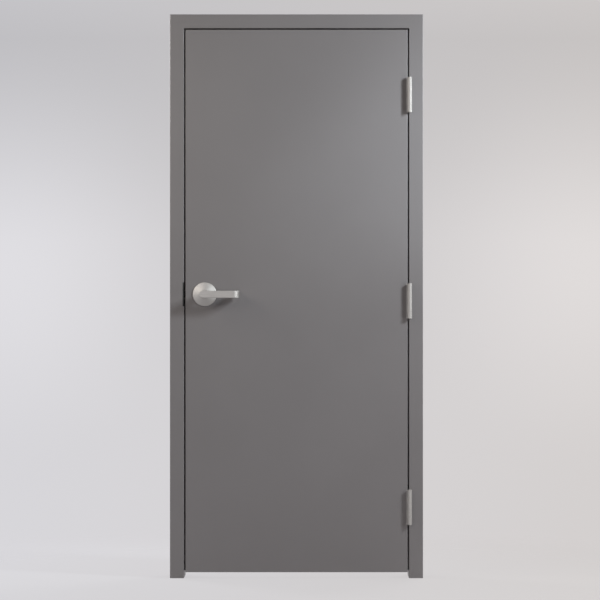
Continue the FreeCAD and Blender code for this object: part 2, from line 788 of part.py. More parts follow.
def strike_plate():
    """The strike, let into the rabbet, with a lip rounded around the front edge of the jamb."""
    body = new_body("strike_plate")
    profile = plane_sketch(body, "strike_profile", "XY_Plane", "lever_height")
    corners = [
        ("0", "0"),
        ("strike_lip", "0"),
        ("strike_lip", "strike_sheet"),
        ("strike_sheet", "strike_sheet"),
        ("strike_sheet", "strike_width"),
        ("0", "strike_width"),
    ]
    outline(profile, [(jamb_x("strike", u), depth_y(v)) for u, v in corners])
    pad(body, profile, "strike_height", both_ways=True)
    outside = [(jamb_x("strike", "0"), depth_y("0"), "0")]
    round_edges(body, "strike_lip_outside", "strike_lip_radius", edge_at(ALONG_Z, outside))
    inside = [(jamb_x("strike", "strike_sheet"), depth_y("strike_sheet"), "0")]
    round_edges(body, "strike_lip_inside", "strike_lip_radius - strike_sheet", edge_at(ALONG_Z, inside))
    window = plane_sketch(body, "strike_window", "YZ_Plane", jamb_x("strike", "0"))
    rectangle(window, *STRIKE_WINDOW)
    pocket(body, window, "4 * strike_sheet")


def strike_box():
    """The dust box behind the strike's window, open towards the latch."""
    mouth = "strike_sheet + reinforcement_plate"
    y0, y1, z0, z1 = STRIKE_WINDOW
    wall = "strike_box_wall"
    outer_span = jamb_span("strike", mouth, mouth + " + strike_box_depth")
    outer = box("strike_box_outer", *outer_span, f"{y0} - {wall}", f"{y1} + {wall}",
                f"{z0} - {wall}", f"{z1} + {wall}")
    hollow_span = jamb_span("strike", mouth + " - strike_box_depth", f"{mouth} + strike_box_depth - {wall}")
    hollow = box("strike_box_hollow", *hollow_span, y0, y1, z0, z1)
    return cut("strike_box", outer, hollow)


def silencers():
    """Three rubber buttons on the strike jamb's stop, just short of the closed leaf."""
    buttons = []
    for i in range(3):
        button = doc.addObject("Part::Cone", f"silencer_{i}")
        button.Placement = FreeCAD.Placement(FreeCAD.Vector(), UP_TO_FRONT)
        buttons.append(bind(button, {
            "Placement.Base.x": "strike_rabbet_x + stop_projection / 2",
            "Placement.Base.y": "front_y + rabbet_depth",
            "Placement.Base.z": f"first_fixing_height + {i} * fixing_spacing",
            "Radius1": "silencer_diameter / 2",
            "Radius2": "silencer_tip_diameter / 2",
            "Height": "stop_gap - silencer_clearance",
        }))
    return gathered("silencers", buttons)


def check_document():
    for item in doc.Objects:
        if "Invalid" in item.State or "Error" in item.State:
            raise RuntimeError(f"{item.Name} did not build: {item.State}")


def write_parts(names):
    os.makedirs("parts", exist_ok=True)
    for name in names:
        item = next(found for found in doc.Objects if found.Label == name)
        shape = item.Shape
        if shape.isNull() or not shape.isValid():
            raise RuntimeError(f"{name} has no valid shape")
        shape.exportStep(f"parts/{name}.step")


def build():
    fill_sheets()

    hinge_notches = [("hinge_plate_end_y", hinge + "_hinge_z", "hinge_height") for hinge in HINGES]
    jamb("hinge", hinge_notches, "hinge_plate")
    jamb("strike", [("front_y + strike_width", "lever_height", "strike_height")], "strike_lip")
    head()
    for side in SIDES:
        jamb_stop(side)
    head_stop()
    floor_anchor("hinge", "0")
    floor_anchor("strike", "strike_throat_x")
    for side in SIDES:
        wall_anchors(side)

    leaf_skin("front_skin", "leaf_front_y", "+")
    leaf_skin("back_skin", "leaf_back_y", "-")
    end_channel("top_channel", "leaf_top_z", "-")
    end_channel("bottom_channel", "undercut", "+")

    for hinge in HINGES:
        butt_hinge(hinge)

    rose("front_rose", "leaf_front_y", UP_TO_FRONT)
    rose("back_rose", "leaf_back_y", UP_TO_BACK)
    lever("front_lever", "leaf_front_y", UP_TO_FRONT)
    lever("back_lever", "leaf_back_y", UP_TO_BACK)
    spindle()

    latch_front()
    latch_bolt()
    strike_plate()
    backing_plate("strike_reinforcement", "strike", "lever_height", "strike_height", "strike_sheet", STRIKE_WINDOW)
    strike_box()
    silencers()

    doc.recompute()
    check_document()
    hinge_parts = [f"{hinge}_hinge_{part}" for hinge in HINGES
                   for part in ("frame_leaf", "door_leaf", "pin", "reinforcement")]
    write_parts([
        "hinge_jamb", "strike_jamb", "head", "hinge_stop", "strike_stop", "head_stop",
        "hinge_floor_anchor", "strike_floor_anchor", "hinge_wall_anchors", "strike_wall_anchors",
        "front_skin", "back_skin", "top_channel", "bottom_channel",
        *hinge_parts,
        "front_rose", "back_rose", "front_lever", "back_lever", "spindle",
        "latch_front", "latch_bolt", "strike_plate", "strike_reinforcement", "strike_box", "silencers",
    ])


build()
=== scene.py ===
# %% [markdown]
# # A grey steel utility door, dressed for its portrait
# The real object is a flush door leaf folded from sheet steel, hung on three butt hinges in a pressed-steel frame,
# with a lever on each face. The CAD model already holds its shapes, so this lesson loads them as a fixed frame and
# adds what CAD leaves out: paint, brushed metal, smooth cast levers, screw heads, light and a camera.

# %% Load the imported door
import math

import bmesh
import bpy
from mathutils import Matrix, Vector


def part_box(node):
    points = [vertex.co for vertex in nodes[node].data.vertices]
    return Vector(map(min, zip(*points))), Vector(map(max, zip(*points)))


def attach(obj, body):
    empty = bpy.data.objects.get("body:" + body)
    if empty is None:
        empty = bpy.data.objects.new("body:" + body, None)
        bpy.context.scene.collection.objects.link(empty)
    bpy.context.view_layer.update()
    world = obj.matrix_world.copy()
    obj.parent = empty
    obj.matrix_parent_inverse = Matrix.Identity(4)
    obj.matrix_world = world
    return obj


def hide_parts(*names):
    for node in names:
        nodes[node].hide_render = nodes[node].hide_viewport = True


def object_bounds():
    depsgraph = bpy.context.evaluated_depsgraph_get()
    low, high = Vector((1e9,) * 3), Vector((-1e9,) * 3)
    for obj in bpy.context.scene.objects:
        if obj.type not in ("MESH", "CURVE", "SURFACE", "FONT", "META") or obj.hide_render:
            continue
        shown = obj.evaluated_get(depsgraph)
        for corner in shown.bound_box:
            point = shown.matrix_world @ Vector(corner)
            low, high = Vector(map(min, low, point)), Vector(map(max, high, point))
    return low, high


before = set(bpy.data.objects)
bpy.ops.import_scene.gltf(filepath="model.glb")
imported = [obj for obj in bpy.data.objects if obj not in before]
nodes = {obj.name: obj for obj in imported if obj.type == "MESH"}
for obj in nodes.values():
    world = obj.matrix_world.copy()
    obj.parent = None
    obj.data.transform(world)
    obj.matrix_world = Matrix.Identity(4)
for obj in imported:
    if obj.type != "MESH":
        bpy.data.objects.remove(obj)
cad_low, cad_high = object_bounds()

print("CAD box in metres:", [round(c, 4) for c in (*cad_low, *cad_high)])

# %% [markdown]
# ## The camera
# The portrait was taken straight on, with a long lens: the two jambs stay parallel and no side of the frame shows.
# A camera can be aimed by eye, but here its place follows from two facts. The frame's face is 2.046 m tall and fills
# 564 of 600 pixels, which gives the width of the view, and the middle of the view lies a little right of the door's
# middle. From 10.5 m away the jambs' inner sides show as thin slivers, as they should.

# %% Camera
SENSOR_MM = 36.0
VIEW_DISTANCE = 10.5
VIEW_WIDTH = 2.1768
face_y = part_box("hinge_jamb")[0].y
VIEW_CENTRE = Vector((-0.4217, face_y, 1.0093))

camera = bpy.data.objects.new("portrait_camera", bpy.data.cameras.new("portrait_camera"))
bpy.context.scene.collection.objects.link(camera)
camera.location = VIEW_CENTRE - Vector((0, VIEW_DISTANCE, 0))
camera.rotation_euler = (math.pi / 2, 0, 0)
camera.data.sensor_width = SENSOR_MM
camera.data.lens = SENSOR_MM * VIEW_DISTANCE / VIEW_WIDTH
bpy.context.scene.camera = camera
print("camera at", [round(c, 4) for c in camera.location], "lens", round(camera.data.lens, 2), "mm")

# %% [markdown]
# ## Colours and nodes
# Colours are written as sRGB hex values, as a paint chart or an image editor gives them. Shader sockets work in
# linear light, so one function converts them. A second one adds any shader node: its settings, its plain values and
# its links come in one call, which keeps each material readable from top to bottom.

# %% Helpers for materials
def linear(colour):
    """An sRGB hex value such as #767273, as the linear RGBA of a shader socket."""
    channels = [int(colour[i:i + 2], 16) / 255 for i in (1, 3, 5)]
    return [c / 12.92 if c <= 0.04045 else ((c + 0.055) / 1.055) ** 2.4 for c in channels] + [1.0]


def add_node(tree, kind, inputs=None, **settings):
    """A shader node of that kind, with its settings made and its inputs set or linked."""
    node = tree.nodes.new("ShaderNode" + kind)
    for name, setting in settings.items():
        setattr(node, name, setting)
    for name, wanted in (inputs or {}).items():
        if isinstance(wanted, bpy.types.NodeSocket):
            tree.links.new(wanted, node.inputs[name])
        else:
            node.inputs[name].default_value = wanted
    return node


def new_finish(name):
    """A material with an empty node tree, and the tree."""
    material = bpy.data.materials.new(name)
    material.use_nodes = True
    material.node_tree.nodes.clear()
    return material, material.node_tree


def metres(mm):
    """A length in millimetres, in Blender's metres."""
    return mm / 1000


def per_metre(mm):
    """The texture scale that gives a pattern features of that size."""
    return 1 / metres(mm)


print("grey enamel in linear light:", [round(c, 3) for c in linear("#767273")])

# %% [markdown]
# ## Grey baked enamel
# The leaf and the frame are galvanised sheet with a factory coat of grey enamel, sprayed on and baked. Sprayed paint
# levels out but never fully: it keeps a faint orange peel, a few millimetres from crest to crest, which breaks up
# reflections without showing as bumps. A noise texture through a Bump node gives that peel. A second, much larger
# noise lets gloss and tone drift a little from place to place, since a spray gun never lays an even coat. The peel
# is drawn at 6 mm, twice its real size, because a pixel of the portrait covers 3.6 mm.

# %% Grey baked enamel
PEEL_MM = 6
PEEL_HEIGHT_MM = 0.4
COAT_DRIFT_MM = 350
NOISE_SPAN = (0.3, 0.7)  # nearly all values of a noise texture lie between these
PAINT_TONES = ("#757172", "#787475")
PAINT_ROUGHNESS = (0.40, 0.44)
PAINT_IOR = 1.5

enamel, tree = new_finish("grey_baked_enamel")
place = add_node(tree, "TexCoord").outputs["Object"]
peel = add_node(tree, "TexNoise", {"Vector": place, "Scale": per_metre(PEEL_MM), "Detail": 1.5, "Roughness": 0.4})
drift = add_node(tree, "TexNoise", {"Vector": place, "Scale": per_metre(COAT_DRIFT_MM), "Detail": 3.0})
tone = add_node(tree, "ValToRGB", {"Fac": drift.outputs["Fac"]})
for element, position, colour in zip(tone.color_ramp.elements, NOISE_SPAN, PAINT_TONES):
    element.position, element.color = position, linear(colour)
gloss = add_node(tree, "MapRange", {"Value": drift.outputs["Fac"],
                                    "From Min": NOISE_SPAN[0], "From Max": NOISE_SPAN[1],
                                    "To Min": PAINT_ROUGHNESS[0], "To Max": PAINT_ROUGHNESS[1]})
relief = add_node(tree, "Bump", {"Height": peel.outputs["Fac"], "Strength": 0.12,
                                 "Distance": metres(PEEL_HEIGHT_MM)})
paint = add_node(tree, "BsdfPrincipled", {"Base Color": tone.outputs["Color"], "Roughness": gloss.outputs["Result"],
                                          "Normal": relief.outputs["Normal"], "IOR": PAINT_IOR})
add_node(tree, "OutputMaterial", {"Surface": paint.outputs["BSDF"]})
print(enamel.name, "peel of", PEEL_MM, "mm")

# %% [markdown]
# ## Satin stainless steel
# Levers, roses, hinges and the latch are stainless steel, brushed with an abrasive belt. Belt lines all run one way:
# along a lever, along a hinge barrel, and in circles on a turned rose. Real lines are a tenth of a millimetre wide,
# too fine for any view of a whole door, so they are drawn 0.8 mm wide. Stretching a noise along the belt's
# direction gives lines, and they drive both the gloss and a shallow bump. A metal takes its tint from its base
# colour and keeps the shader's default index of refraction.

# %% Satin stainless steel
BELT_LINE_MM = 0.8
BELT_LINE_DEPTH_MM = 0.1
BELT_RUN_MM = 40
STEEL_TONES = ("#959391", "#a6a3a0")
spindle_low, spindle_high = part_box("spindle")
lock_axis = (spindle_low + spindle_high) / 2


def satin_steel(name, roughness, stretch=None):
    """Brushed stainless steel. Stretch is the texture scale on each axis; without it the lines circle the lock."""
    finish, tree = new_finish(name)
    place = add_node(tree, "TexCoord").outputs["Object"]
    if stretch:
        lines = add_node(tree, "VectorMath", {0: place, 1: stretch}, operation="MULTIPLY").outputs["Vector"]
    else:
        spoke = add_node(tree, "VectorMath", {0: place, 1: lock_axis}, operation="SUBTRACT").outputs["Vector"]
        flat = add_node(tree, "VectorMath", {0: spoke, 1: (1, 0, 1)}, operation="MULTIPLY").outputs["Vector"]
        radius = add_node(tree, "VectorMath", {0: flat}, operation="LENGTH").outputs["Value"]
        lines = add_node(tree, "VectorMath", {0: (per_metre(BELT_LINE_MM), 0, 0), "Scale": radius},
                         operation="SCALE").outputs["Vector"]
    brushed = add_node(tree, "TexNoise", {"Vector": lines, "Scale": 1.0, "Detail": 2.0})
    tone = add_node(tree, "ValToRGB", {"Fac": brushed.outputs["Fac"]})
    for element, position, colour in zip(tone.color_ramp.elements, NOISE_SPAN, STEEL_TONES):
        element.position, element.color = position, linear(colour)
    gloss = add_node(tree, "MapRange", {"Value": brushed.outputs["Fac"],
                                        "From Min": NOISE_SPAN[0], "From Max": NOISE_SPAN[1],
                                        "To Min": roughness[0], "To Max": roughness[1]})
    relief = add_node(tree, "Bump", {"Height": brushed.outputs["Fac"], "Strength": 0.1,
                                     "Distance": metres(BELT_LINE_DEPTH_MM)})
    steel = add_node(tree, "BsdfPrincipled", {"Base Color": tone.outputs["Color"], "Metallic": 1.0,
                                              "Roughness": gloss.outputs["Result"],
                                              "Normal": relief.outputs["Normal"]})
    add_node(tree, "OutputMaterial", {"Surface": steel.outputs["BSDF"]})
    return finish


across, along = per_metre(BELT_LINE_MM), per_metre(BELT_RUN_MM)
steel_upright = satin_steel("satin_stainless_brushed_upright", (0.62, 0.74), (across, across, along))
steel_lengthways = satin_steel("satin_stainless_brushed_lengthways", (0.52, 0.64), (along, across, across))
steel_circled = satin_steel("satin_stainless_turned", (0.52, 0.62))
print("brushed steels:", steel_upright.name, steel_lengthways.name, steel_circled.name)

# %% [markdown]
# ## Galvanised sheet
# The anchors, the plates behind the hinges and the dust box behind the strike are hot-dip galvanised and never
# painted. As the zinc cools it freezes in crystals, the spangle, each of which catches light its own way. A Voronoi
# texture makes such cells, and each cell's random colour sets its tone and its gloss.

# %% Galvanised sheet
SPANGLE_MM = 9
ZINC_TONES = ("#8e9498", "#b4b9bb")
ZINC_ROUGHNESS = (0.34, 0.55)

zinc, tree = new_finish("galvanised_sheet")
place = add_node(tree, "TexCoord").outputs["Object"]
spangle = add_node(tree, "TexVoronoi", {"Vector": place, "Scale": per_metre(SPANGLE_MM)})
crystal = add_node(tree, "SeparateColor", {"Color": spangle.outputs["Color"]})
tone = add_node(tree, "ValToRGB", {"Fac": crystal.outputs["Red"]})
for element, colour in zip(tone.color_ramp.elements, ZINC_TONES):
    element.color = linear(colour)
gloss = add_node(tree, "MapRange", {"Value": crystal.outputs["Green"],
                                    "To Min": ZINC_ROUGHNESS[0], "To Max": ZINC_ROUGHNESS[1]})
coating = add_node(tree, "BsdfPrincipled", {"Base Color": tone.outputs["Color"], "Metallic": 1.0,
                                            "Roughness": gloss.outputs["Result"]})
add_node(tree, "OutputMaterial", {"Surface": coating.outputs["BSDF"]})
print(zinc.name, "spangle of", SPANGLE_MM, "mm")

# %% [markdown]
# ## Black oxide steel and painted shade
# The strike shows as a black notch in the jamb's edge, and the latch bolt sits deep in the dark gap beside it. This
# near-black tone paints the shade of that notch and gap onto the strike, its screws and the latch bolt. It stands for
# mild steel blackened in a hot salt bath: the oxide is a thin dark crust of fine crystals, so it is matt and throws
# back little light, which a low specular level gives. Fine noise mottles the tone between near black and dark grey,
# as where the sliding latch has rubbed it.

# %% Black oxide steel and painted shade
OXIDE_MOTTLE_MM = 5
OXIDE_SPAN = (0.35, 0.75)
# near black: paints the shade of the strike notch and the latch gap, as well as the oxide's tone
OXIDE_AND_SHADE_TONES = ("#0f0e0e", "#201f1f")
OXIDE_ROUGHNESS = (0.50, 0.65)
OXIDE_IOR = 1.6
OXIDE_SPECULAR = 0.2

black_oxide_and_notch_shade, tree = new_finish("black_oxide_and_painted_shade")
place = add_node(tree, "TexCoord").outputs["Object"]
mottle = add_node(tree, "TexNoise", {"Vector": place, "Scale": per_metre(OXIDE_MOTTLE_MM), "Detail": 4.0})
tone = add_node(tree, "ValToRGB", {"Fac": mottle.outputs["Fac"]})
for element, position, colour in zip(tone.color_ramp.elements, OXIDE_SPAN, OXIDE_AND_SHADE_TONES):
    element.position, element.color = position, linear(colour)
gloss = add_node(tree, "MapRange", {"Value": mottle.outputs["Fac"],
                                    "To Min": OXIDE_ROUGHNESS[0], "To Max": OXIDE_ROUGHNESS[1]})
oxide_and_shade_coat = add_node(tree, "BsdfPrincipled", {"Base Color": tone.outputs["Color"], "Roughness": gloss.outputs["Result"],
                                          "IOR": OXIDE_IOR, "Specular IOR Level": OXIDE_SPECULAR})
add_node(tree, "OutputMaterial", {"Surface": oxide_and_shade_coat.outputs["BSDF"]})
print(black_oxide_and_notch_shade.name, "mottle of", OXIDE_MOTTLE_MM, "mm")

# %% [markdown]
# ## Grey rubber
# Three small rubber buttons on the stop take the leaf's last knock. Moulded rubber is matt, with a fine grain from
# the mould and a dusty bloom.

# %% Grey rubber
RUBBER_GRAIN_MM = 1.2
RUBBER_GRAIN_HEIGHT_MM = 0.15
RUBBER_TONES = ("#3d3d3e", "#57575a")
RUBBER_ROUGHNESS = 0.8
RUBBER_IOR = 1.52

rubber, tree = new_finish("moulded_grey_rubber")
place = add_node(tree, "TexCoord").outputs["Object"]
grain = add_node(tree, "TexNoise", {"Vector": place, "Scale": per_metre(RUBBER_GRAIN_MM), "Detail": 3.0})
tone = add_node(tree, "ValToRGB", {"Fac": grain.outputs["Fac"]})
for element, colour in zip(tone.color_ramp.elements, RUBBER_TONES):
    element.color = linear(colour)
relief = add_node(tree, "Bump", {"Height": grain.outputs["Fac"], "Strength": 0.3,
                                 "Distance": metres(RUBBER_GRAIN_HEIGHT_MM)})
button = add_node(tree, "BsdfPrincipled", {"Base Color": tone.outputs["Color"], "Roughness": RUBBER_ROUGHNESS,
                                           "IOR": RUBBER_IOR, "Normal": relief.outputs["Normal"]})
add_node(tree, "OutputMaterial", {"Surface": button.outputs["BSDF"]})
print(rubber.name, "grain of", RUBBER_GRAIN_MM, "mm")

# %% [markdown]
# ## Finishes on the CAD pieces
# The pressed frame and the leaf wear enamel; hinges and lock furniture are bare stainless steel; what the wall hides
# is galvanised. The strike and the latch bolt are near black, which paints the shade of the notch and gap they sit
# in.
# The CAD objects keep their shapes, and only their material slots change.

# %% Dress the CAD pieces
HINGES = ("bottom", "middle", "top")
FINISHES = {
    enamel: ["hinge_jamb", "strike_jamb", "head", "hinge_stop", "strike_stop", "head_stop",
             "front_skin", "back_skin", "top_channel", "bottom_channel"],
    steel_upright: ["latch_front"] + [f"{hinge}_hinge_{part}" for hinge in HINGES
                                      for part in ("frame_leaf", "door_leaf", "pin")],
    steel_lengthways: ["spindle", "front_lever", "back_lever"],
    steel_circled: ["front_rose", "back_rose"],
    zinc: ["hinge_floor_anchor", "strike_floor_anchor", "hinge_wall_anchors", "strike_wall_anchors",
           "strike_reinforcement", "strike_box"] + [f"{hinge}_hinge_reinforcement" for hinge in HINGES],
    # near black, painting the shade of the strike notch and of the gap round the latch bolt
    black_oxide_and_notch_shade: ["strike_plate", "latch_bolt"],
    rubber: ["silencers"],
}
for finish, names in FINISHES.items():
    for name in names:
        for slot in nodes[name].material_slots:
            slot.material = finish
print("dressed:", sum(len(names) for names in FINISHES.values()), "of", len(nodes))

# %% [markdown]
# ## Smooth levers
# A lever is cast, ground and brushed: a round neck flares into an oval hub, the bar runs level, and its tip bends
# back towards the door so that a sleeve cannot catch. The CAD solid has these forms with plain facets. Here the bar
# is a loft: a rounded rectangle is carried along the bar's path, shrinks to an oval at the hub end and turns through
# the bend. The neck is a second loft, of ellipses, and a boolean joins the two into one skin.

# %% Lever sizes and the section of the bar
NECK_RADIUS = metres(12.5)
HUB_HALF_LENGTH = metres(20.7)
BAR_HALF_HEIGHT = metres(13)
BAR_THICKNESS = metres(13)
TIP_THICKNESS = metres(11)
TIP_DEPTH = metres(49)
BEND_RADIUS = metres(22)
EDGE_RADIUS = metres(1.6)
EDGE_IN_HEIGHT, EDGE_IN_THICKNESS = 0.9, 0.45  # the largest share of the section that an edge's radius may take
CORNER_STEPS = 6

front_face_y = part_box("front_skin")[0].y
back_face_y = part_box("back_skin")[1].y
lever_low, lever_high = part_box("front_lever")
LEVER_REACH = front_face_y - lever_low.y
LEVER_START = front_face_y - lever_high.y
LEVER_LENGTH = lever_high.x - lock_axis.x
TIP_END = LEVER_REACH - TIP_DEPTH


def bar_section(half_height, thickness):
    """A rounded rectangle as (depth behind the front face, height) pairs, going round once."""
    edge = min(EDGE_RADIUS, EDGE_IN_HEIGHT * half_height, EDGE_IN_THICKNESS * thickness)
    corners = [(edge, half_height - edge), (thickness - edge, half_height - edge),
               (thickness - edge, edge - half_height), (edge, edge - half_height)]
    points = []
    for quarter, (depth, height) in enumerate(corners):
        for step in range(CORNER_STEPS + 1):
            turn = math.radians(180 - 90 * quarter - 90 * step / CORNER_STEPS)
            points.append((depth + edge * math.cos(turn), height + edge * math.sin(turn)))
    return points


print("lever reach", round(LEVER_REACH * 1000, 1), "mm, length", round(LEVER_LENGTH * 1000, 1), "mm")

# %% [markdown]
# The bar's path is a list of stations. Each one says where the front face is, which way it faces, how high and how
# thick the bar is there. The hub end is half an ellipse, so its stations crowd together towards the end, where the
# outline curves most.

# %% Stations along the bar
HUB_STEPS, STRAIGHT_STEPS, BEND_STEPS, TIP_STEPS = 12, 9, 12, 4
HUB_START = 3  # degrees round the hub's half ellipse; at 0 the section would shrink to nothing
TIP_ROUND = metres(1.5)


def bar_stations():
    """(place along the bar, reach of the front face, facing angle, half height, thickness) from hub end to tip."""
    stations = []
    for step in range(HUB_STEPS + 1):
        turn = math.radians(HUB_START + (90 - HUB_START) * step / HUB_STEPS)
        stations.append((-HUB_HALF_LENGTH * math.cos(turn), LEVER_REACH, 0.0,
                         BAR_HALF_HEIGHT * math.sin(turn), BAR_THICKNESS))
    bend_start = LEVER_LENGTH - BEND_RADIUS
    for step in range(1, STRAIGHT_STEPS):
        stations.append((bend_start * step / STRAIGHT_STEPS, LEVER_REACH, 0.0, BAR_HALF_HEIGHT, BAR_THICKNESS))
    for step in range(BEND_STEPS + 1):
        turn = math.radians(90 * step / BEND_STEPS)
        stations.append((bend_start + BEND_RADIUS * math.sin(turn),
                         LEVER_REACH - BEND_RADIUS + BEND_RADIUS * math.cos(turn), turn, BAR_HALF_HEIGHT,
                         BAR_THICKNESS + (TIP_THICKNESS - BAR_THICKNESS) * step / BEND_STEPS))
    for step in range(TIP_STEPS + 1):
        turn = math.radians(90 * step / TIP_STEPS)
        inset = TIP_ROUND * (1 - math.cos(turn))
        stations.append((LEVER_LENGTH - inset, TIP_END + TIP_ROUND * (1 - math.sin(turn)), math.pi / 2,
                         BAR_HALF_HEIGHT - inset, TIP_THICKNESS - 2 * inset))
    return stations


print("stations along the bar:", len(bar_stations()))

# %% [markdown]
# A skin over rings of points is the commonest shape in this file, so one helper makes it: it joins each ring to the
# next with quads and closes both ends.

# %% Skin over rings
def skin_rings(mesh_maker, rings):
    """Faces over rings with the same number of points, closed at both ends."""
    rows = [[mesh_maker.verts.new(point) for point in ring] for ring in rings]
    count = len(rows[0])
    for row, after in zip(rows, rows[1:]):
        for i in range(count):
            mesh_maker.faces.new((row[i], row[(i + 1) % count], after[(i + 1) % count], after[i]))
    mesh_maker.faces.new(rows[0])
    mesh_maker.faces.new(rows[-1])


def finished_object(name, mesh_maker):
    """An object of what the mesh maker holds, with its faces turned outwards."""
    bmesh.ops.recalc_face_normals(mesh_maker, faces=mesh_maker.faces)
    mesh = bpy.data.meshes.new(name)
    mesh_maker.to_mesh(mesh)
    mesh_maker.free()
    piece = bpy.data.objects.new(name, mesh)
    bpy.context.scene.collection.objects.link(piece)
    return piece


def shade_smooth(piece, sharp_degrees=35):
    """Smooth shading that keeps edges sharper than that angle, and keeps broad flats flat."""
    piece.data.shade_smooth()
    piece.data.set_sharp_from_angle(angle=math.radians(sharp_degrees))
    flats = piece.modifiers.new("flat_faces_stay_flat", "WEIGHTED_NORMAL")
    flats.keep_sharp = True


print("the bar's skin:", len(bar_stations()), "rings of", len(bar_section(BAR_HALF_HEIGHT, BAR_THICKNESS)), "points")

# %% [markdown]
# Both levers come from the same rings: on the front face the lever reaches towards -Y, on the back towards +Y, and
# each bar runs towards the hinges. The boolean's result is written to a new mesh, so that no cutter is left behind.

# %% Two levers
NECK_SIDES = 48
FLARE_STEPS = 10
HUB_FOOT_DEPTH = metres(32)  # below the bar's front, where the neck begins to flare
NECK_TOP_DEPTH = metres(6)  # below the bar's front, where the neck ends inside the bar
FLARE_OVERLAP = metres(2)
FLARE_SHARE = 0.96  # the flare stays a little inside the bar's outline


def lever_rings(surface_y, outward):
    """The rings of the bar and of the neck, for a lever that stands on that surface."""
    def placed(along_bar, reach, height):
        return (lock_axis.x + along_bar, surface_y + outward * reach, lock_axis.z + height)
    bar = []
    for along_bar, reach, facing, half_height, thickness in bar_stations():
        bar.append([placed(along_bar - depth * math.sin(facing), reach - depth * math.cos(facing), height)
                    for depth, height in bar_section(half_height, thickness)])
    neck = []
    neck_top, hub_foot = LEVER_REACH - NECK_TOP_DEPTH, LEVER_REACH - HUB_FOOT_DEPTH
    flare_top = LEVER_REACH - BAR_THICKNESS + FLARE_OVERLAP
    flare = [hub_foot + (flare_top - hub_foot) * step / FLARE_STEPS for step in range(FLARE_STEPS + 1)]
    for reach in [LEVER_START] + flare + [neck_top]:
        share = min(1.0, max(0.0, (reach - hub_foot) / (flare_top - hub_foot)))
        eased = share * share * (3 - 2 * share)
        half_length = NECK_RADIUS + (FLARE_SHARE * HUB_HALF_LENGTH - NECK_RADIUS) * eased
        half_height = NECK_RADIUS + (FLARE_SHARE * BAR_HALF_HEIGHT - NECK_RADIUS) * eased
        turns = [math.tau * i / NECK_SIDES for i in range(NECK_SIDES)]
        neck.append([placed(half_length * math.cos(turn), reach, half_height * math.sin(turn)) for turn in turns])
    return bar, neck


def cast_lever(name, node, surface_y, outward):
    """A lever of one skin, standing for the CAD node."""
    halves = []
    for rings in lever_rings(surface_y, outward):
        mesh_maker = bmesh.new()
        skin_rings(mesh_maker, rings)
        halves.append(finished_object(name, mesh_maker))
    bar, neck = halves
    union = bar.modifiers.new("join_neck", "BOOLEAN")
    union.operation = "UNION"
    union.object = neck
    joined = bpy.data.meshes.new_from_object(bar.evaluated_get(bpy.context.evaluated_depsgraph_get()))
    bar.modifiers.clear()
    bar.data = joined
    bpy.data.objects.remove(neck)
    bar.name = name
    shade_smooth(bar)
    bar.data.materials.append(steel_lengthways)
    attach(bar, "levers")
    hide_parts(node)
    print(name, "faces:", len(bar.data.polygons))


cast_lever("front_lever_cast", "front_lever", front_face_y, -1)
cast_lever("back_lever_cast", "back_lever", back_face_y, 1)

# %% [markdown]
# ## Screw heads
# Flat-headed screws with a cross recess hold the hinge leaves, the strike and the latch front. The CAD model leaves
# them out. Each head is a low disc with a rounded rim, let in almost flush, and the recess is a cross-shaped pit
# with sloping sides. One function draws a head anywhere: it takes the middle, the direction that the head faces,
# and the head's radius.

# %% One screw head
HEAD_PROUD = metres(0.5)
HEAD_SUNK = metres(0.3)
HEAD_SIDES = 24  # as many as the cross has points
HEAD_RIM = [(1.0, 0.5), (0.95, 0.85), (0.88, 1.0)]  # shares of the radius and of the height, from the side upwards
CROSS_MOUTH = (0.56, 0.2)  # an arm's reach and half its width at the head's face, as shares of the radius
CROSS_FLOOR = (0.40, 0.13)
CROSS_FLOOR_HEIGHT = 0.1


def cross_outline(reach, half_width):
    """A cross as 24 points, each arm's corners and the points half-way between them, from the first arm on."""
    corners = []
    for quarter in range(4):
        c, s = (1, 0, -1, 0)[quarter], (0, 1, 0, -1)[quarter]
        for a, b in [(reach, -half_width), (reach, half_width), (half_width, half_width)]:
            corners.append((a * c - b * s, a * s + b * c))
    halfway = [((x0 + x1) / 2, (y0 + y1) / 2) for (x0, y0), (x1, y1) in zip(corners, corners[1:] + corners[:1])]
    return [point for pair in zip(corners, halfway) for point in pair]


def screw_head(mesh_maker, middle, facing, radius, turned):
    """A countersunk head with a cross recess, turned by that many degrees."""
    sideways = facing.orthogonal().normalized()
    upwards = facing.cross(sideways)
    first_arm = -math.atan2(CROSS_MOUTH[1], CROSS_MOUTH[0])

    def circle(share):
        return [(share * radius * math.cos(first_arm + math.tau * i / HEAD_SIDES),
                 share * radius * math.sin(first_arm + math.tau * i / HEAD_SIDES)) for i in range(HEAD_SIDES)]

    def cross(shares):
        return cross_outline(shares[0] * radius, shares[1] * radius)

    levels = [(circle(1.0), -HEAD_SUNK)] + [(circle(share), up * HEAD_PROUD) for share, up in HEAD_RIM]
    levels += [(cross(CROSS_MOUTH), HEAD_PROUD), (cross(CROSS_FLOOR), CROSS_FLOOR_HEIGHT * HEAD_PROUD)]
    cos, sin = math.cos(math.radians(turned)), math.sin(math.radians(turned))
    rings = []
    for outline, height in levels:
        rings.append([middle + sideways * (a * cos - b * sin) + upwards * (a * sin + b * cos) + facing * height
                      for a, b in outline])
    skin_rings(mesh_maker, rings)


print("cross outline points:", len(cross_outline(*CROSS_MOUTH)))

# %% [markdown]
# A hinge leaf has four screws in a zigzag, two near the barrel and two near the far edge, so that the holes don't
# weaken it along one line. Screws are left at whatever angle they bite, so each recess is turned differently, by a
# fixed step.

# %% Screws on the hinges
HINGE_SCREW_RADIUS = metres(5.6)
SCREW_TURN_STEP = 37  # degrees
# where each screw sits: up the leaf as a share of its height, and back from its front as a share of its depth
ZIGZAG = [(-0.36, 0.72), (-0.13, 0.40), (0.13, 0.40), (0.36, 0.72)]


